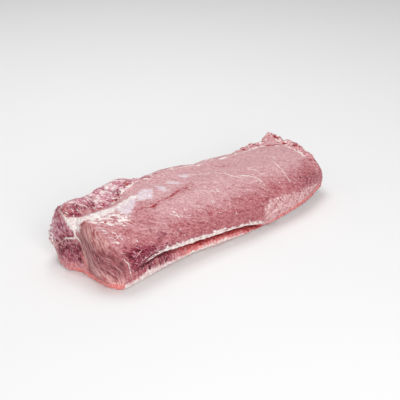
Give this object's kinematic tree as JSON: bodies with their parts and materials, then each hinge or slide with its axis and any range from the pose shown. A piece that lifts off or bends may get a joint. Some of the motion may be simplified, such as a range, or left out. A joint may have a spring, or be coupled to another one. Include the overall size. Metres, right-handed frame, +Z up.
{
  "type": "boneless pork loin",
  "caption": "Raw boneless pork loin, a long rounded block of meat with a clean cut end, a ragged far end and a loose flap along its foot, lying flat.",
  "frame": {"origin": "middle of the underside, on the surface that the loin lies on", "axes": "+X along the loin from the clean cut end to the ragged far end, +Y from the flap side to the back, +Z up"},
  "size_m": [0.3856, 0.1446, 0.0753],
  "materials": {
    "raw_pork": "moist satin raw meat with pale silverskin and white fat"
  },
  "bodies": {
    "root": {"pork_loin": "raw_pork"}
  },
  "joints": []
}
